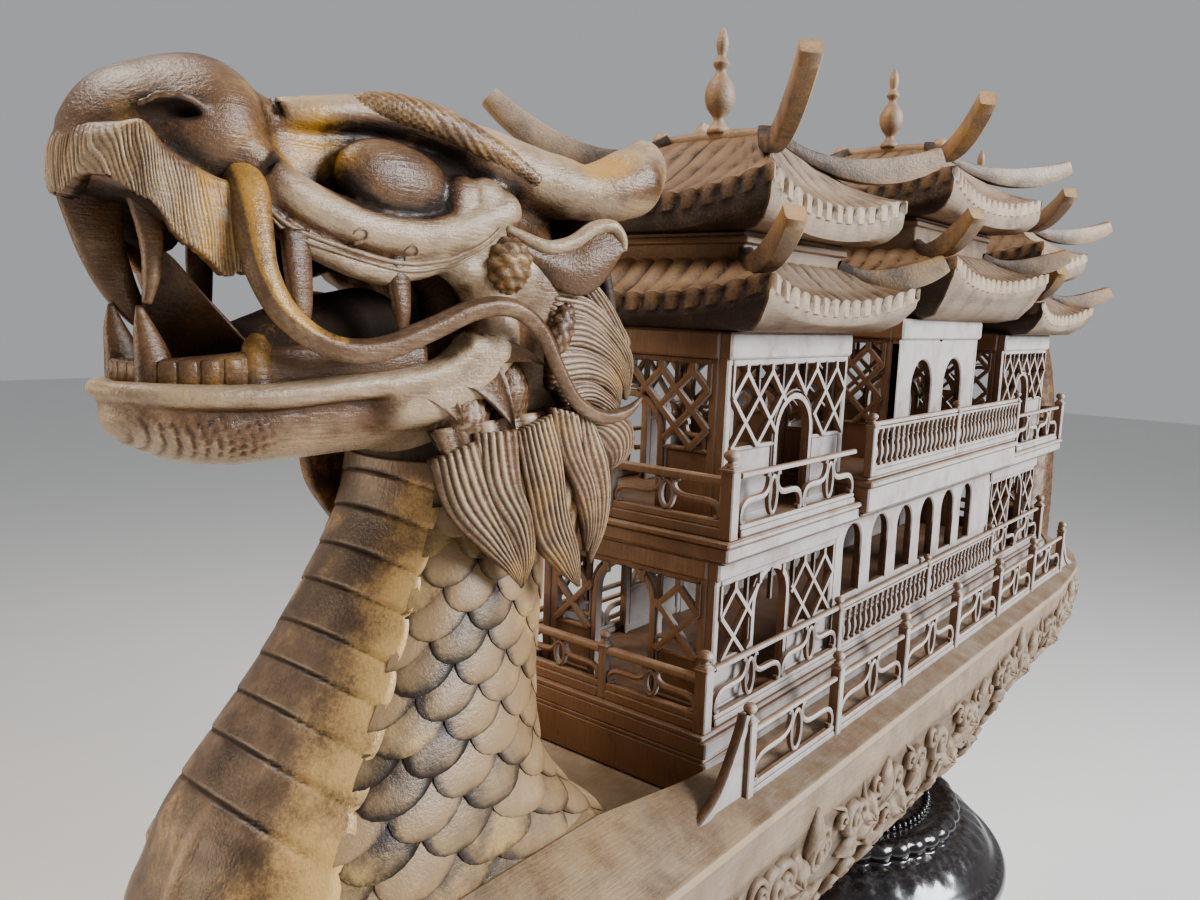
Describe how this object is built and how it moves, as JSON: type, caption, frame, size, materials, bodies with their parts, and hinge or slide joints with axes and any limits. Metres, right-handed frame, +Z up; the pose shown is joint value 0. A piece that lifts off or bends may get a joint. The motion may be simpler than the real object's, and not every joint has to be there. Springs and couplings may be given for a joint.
{
  "type": "carved wooden dragon boat model on a display stand",
  "caption": "Carved dragon-headed boat with a two-storey pavilion, upswept roofs and railings, standing on a round black display stand.",
  "frame": {"origin": "on the floor under the middle of the stand's foot, midway between the dragon's snout and the tail", "axes": "-Y towards the bow and the dragon's head, +X to port, +Z up"},
  "size_m": [0.444, 1.6779, 1.5173],
  "materials": {
    "carved_wood": "satin, worn gilding in patches, dark in the recesses",
    "hull_wood": "pale worn satin, bare along the edges",
    "panel_wood": "satin, pale with dust on the outer faces",
    "roof_wood": "satin, carved tile rolls",
    "black_lacquer": "glossy black lacquer"
  },
  "bodies": {
    "root": {"hull": "hull_wood", "dragon_neck": "carved_wood", "skull": "carved_wood", "lower_jaw": "carved_wood", "tongue": "carved_wood", "horn_port": "carved_wood", "horn_starboard": "carved_wood", "ear_port": "carved_wood", "ear_starboard": "carved_wood", "whisker_port": "carved_wood", "whisker_starboard": "carved_wood", "mane": "carved_wood", "beard_port": "carved_wood", "beard_starboard": "carved_wood", "tail": "carved_wood", "pavilion_base": "panel_wood", "lower_front_wall": "panel_wood", "lower_rear_wall": "panel_wood", "lower_side_wall_port": "panel_wood", "lower_side_wall_starboard": "panel_wood", "lower_rail_front": "panel_wood", "lower_rail_rear": "panel_wood", "lower_rail_port": "panel_wood", "lower_rail_starboard": "panel_wood", "upper_deck": "panel_wood", "upper_rail_front": "panel_wood", "upper_rail_rear": "panel_wood", "upper_rail_fore_port": "panel_wood", "upper_rail_fore_starboard": "panel_wood", "upper_rail_aft_port": "panel_wood", "upper_rail_aft_starboard": "panel_wood", "gallery_rail_port": "panel_wood", "gallery_rail_starboard": "panel_wood", "fore_room_front": "panel_wood", "fore_room_rear": "panel_wood", "fore_room_side_port": "panel_wood", "fore_room_side_starboard": "panel_wood", "mid_room_front": "panel_wood", "mid_room_rear": "panel_wood", "mid_room_side_port": "panel_wood", "mid_room_side_starboard": "panel_wood", "aft_room_front": "panel_wood", "aft_room_rear": "panel_wood", "aft_room_side_port": "panel_wood", "aft_room_side_starboard": "panel_wood", "fore_lower_roof": "roof_wood", "fore_upper_roof": "roof_wood", "fore_finial": "roof_wood", "mid_lower_roof": "roof_wood", "mid_upper_roof": "roof_wood", "mid_finial": "roof_wood", "aft_lower_roof": "roof_wood", "aft_upper_roof": "roof_wood", "aft_finial": "roof_wood", "outer_balustrade_port": "hull_wood", "outer_balustrade_starboard": "hull_wood", "stand_foot": "black_lacquer", "stand_column": "black_lacquer", "stand_top": "black_lacquer"}
  },
  "joints": []
}
